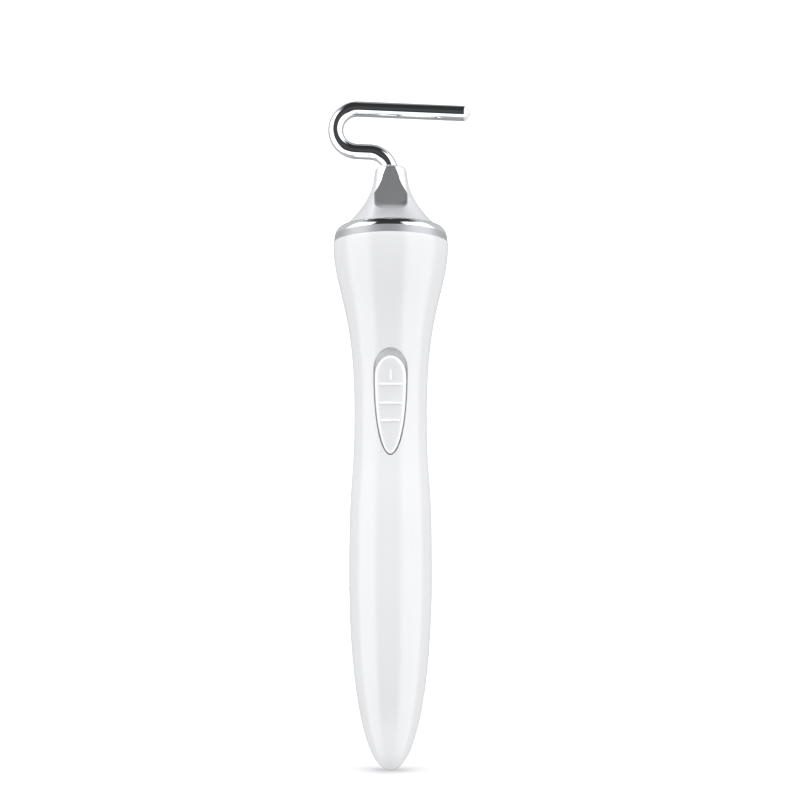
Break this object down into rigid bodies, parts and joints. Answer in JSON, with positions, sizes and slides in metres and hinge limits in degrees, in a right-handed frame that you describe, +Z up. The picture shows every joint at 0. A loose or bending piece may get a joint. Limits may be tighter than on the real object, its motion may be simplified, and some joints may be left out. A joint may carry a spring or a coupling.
{
  "type": "curing light",
  "caption": "Slim hand-held dental curing light: tapered battery handle with a thumb slider, polished nose and a hooked steel light guide.",
  "frame": {"origin": "the rounded lower tip of the handle, on the handle's axis", "axes": "+Z up the handle towards the nose, the thumb slider faces -Y, the light guide's arm points along +X at rest"},
  "size_m": [0.0483, 0.0386, 0.223],
  "materials": {
    "white_plastic": "smooth gloss moulding, white",
    "grey_plastic": "matt grey moulding",
    "satin_trim": "satin grey anodised, fine turned lines",
    "turned_aluminium": "turned",
    "black_rubber": "moulded",
    "chrome_nose": "mirror chrome plate",
    "spring_steel": "ground",
    "polished_steel": "mirror polished",
    "glass_fibre": "fused fibre bundle",
    "clear_glass": "polished",
    "led_package": "ceramic base, silicone dome",
    "circuit_board": "solder mask",
    "screw_steel": "zinc plated",
    "black_plastic": "fine texture",
    "grey_rubber": "filled silicone sheet",
    "chip_black": "moulded epoxy",
    "ferrite": "sintered",
    "battery_sleeve": "shrink sleeve over a metal can",
    "nickel_strip": "rolled",
    "red_insulation": "silicone insulation",
    "black_insulation": "silicone insulation",
    "copper_winding": "enamelled wire"
  },
  "bodies": {
    "handle": {"front_shell": "white_plastic", "rear_shell": "white_plastic", "switch_bed": "grey_plastic", "collar_ring": "satin_trim", "inner_collar": "turned_aluminium", "collar_seal": "black_rubber", "nose_cone": "chrome_nose", "retaining_ring": "spring_steel", "led_emitter": "led_package", "led_board": "circuit_board", "led_screws": "screw_steel", "lens_holder": "black_plastic", "collimator_lens": "clear_glass", "thermal_pad": "grey_rubber", "heat_sink": "turned_aluminium", "heat_sink_screws": "screw_steel", "slide_switch_body": "screw_steel", "main_board": "circuit_board", "board_screws": "screw_steel", "controller_chips": "chip_black", "power_inductor": "ferrite", "chassis": "black_plastic", "battery_cell": "battery_sleeve", "battery_tabs": "nickel_strip", "battery_lead_red": "red_insulation", "battery_lead_black": "black_insulation", "coil_leads": "red_insulation", "led_leads": "black_insulation", "charging_coil": "copper_winding", "coil_ferrite": "ferrite", "coil_holder": "black_plastic"},
    "light_guide": {"light_guide_tube": "polished_steel", "fibre_bundle": "glass_fibre", "tip_lens": "clear_glass", "guide_ferrule": "spring_steel", "guide_o_ring": "black_rubber"},
    "slider": {"slide_button": "white_plastic", "switch_knob": "black_plastic"}
  },
  "joints": [
    {"name": "guide_swivel", "type": "hinge", "parent": "handle", "child": "light_guide", "pos_m": [0, 0, 0.19], "axis": [0, 0, 1], "continuous": true},
    {"name": "slider_travel", "type": "slide", "parent": "handle", "child": "slider", "axis": [0, 0, 1], "range_m": [0, 0.0022]}
  ]
}
